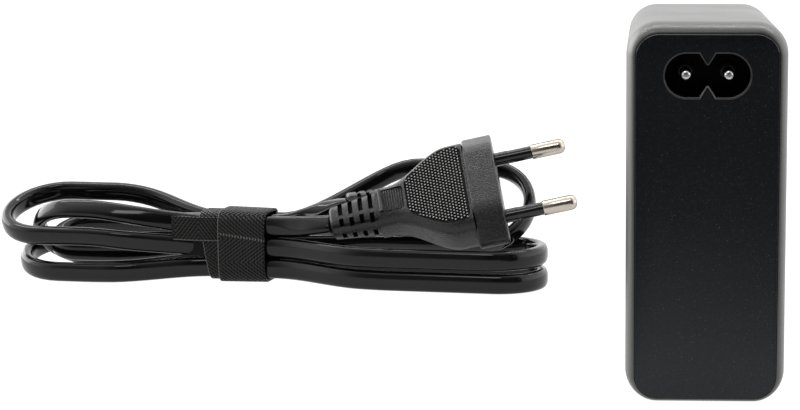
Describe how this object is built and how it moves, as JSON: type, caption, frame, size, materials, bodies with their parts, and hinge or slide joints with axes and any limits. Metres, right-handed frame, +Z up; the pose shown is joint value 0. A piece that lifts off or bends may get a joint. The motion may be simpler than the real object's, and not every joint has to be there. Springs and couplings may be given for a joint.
{
  "type": "laptop power adapter",
  "caption": "Upright block-shaped laptop power adapter with a figure-8 mains inlet and USB outputs, and its detached flat-flex mains lead tied in a hank",
  "frame": {"origin": "centre of the block's base, on the surface that block and lead stand on", "axes": "+Z up, +Y from the mains inlet end to the output end, +X across the block"},
  "size_m": [0.204, 0.1583, 0.0775],
  "materials": {
    "case": "fine matt texture, greys at grazing angles",
    "panel": "fine speckled matt texture",
    "inlet_moulding": "moulded, half gloss",
    "pin_metal": "nickel plated brass",
    "sheet": "polyester film",
    "filler": "soft silicone",
    "board": "glass epoxy, solder mask",
    "black_moulding": "moulded epoxy or nylon",
    "yellow_case": "potted box",
    "ferrite": "sintered ferrite",
    "copper_wire": "enamelled copper",
    "can_sleeve": "shrunk sleeve",
    "pale_moulding": "moulded",
    "tape": "polyester tape",
    "blue_disc": "dipped ceramic",
    "can_metal": "drawn can",
    "spreader": "rolled sheet",
    "steel_shell": "drawn stainless shell",
    "tongue": "moulded",
    "cord_moulding": "satin PVC, grained",
    "sleeve": "smooth black nylon",
    "contact_metal": "rolled contact strip",
    "flex": "smooth glossy PVC",
    "webbing": "woven hook-and-loop webbing"
  },
  "bodies": {
    "adapter": {"case_shell": "case", "inlet_panel": "panel", "output_panel": "panel", "inlet_housing": "inlet_moulding", "inlet_pins": "pin_metal", "insulation_sheet": "sheet", "gap_filler": "filler", "main_board": "board", "output_board": "board", "board_header": "black_moulding", "fuse": "black_moulding", "x_capacitor": "yellow_case", "choke_core": "ferrite", "choke_winding": "copper_wire", "bridge_rectifier": "black_moulding", "pfc_core": "ferrite", "pfc_winding": "copper_wire", "bulk_capacitors": "can_sleeve", "switch_transistors": "black_moulding", "transformer_core": "ferrite", "transformer_bobbin": "pale_moulding", "transformer_winding": "tape", "y_capacitor": "blue_disc", "optocoupler": "pale_moulding", "controller_chip": "black_moulding", "sync_rectifiers": "black_moulding", "output_capacitors": "can_metal", "heat_spreader": "spreader", "thermal_pads": "filler", "usb_c_shells": "steel_shell", "usb_c_tongues": "black_moulding", "usb_a_shell": "steel_shell", "usb_a_tongue": "tongue"},
    "mains_lead": {"plug_body": "cord_moulding", "plug_collar": "cord_moulding", "plug_pins": "pin_metal", "pin_sleeves": "sleeve", "connector_body": "cord_moulding", "connector_contacts": "contact_metal", "lead_hank": "flex", "lead_tail_plug": "flex", "lead_tail_connector": "flex", "cable_tie": "webbing"}
  },
  "joints": [
    {"name": "lead_lift", "type": "slide", "parent": "adapter", "child": "mains_lead", "axis": [0, 0, 1], "range_m": [0, 0.1]}
  ]
}
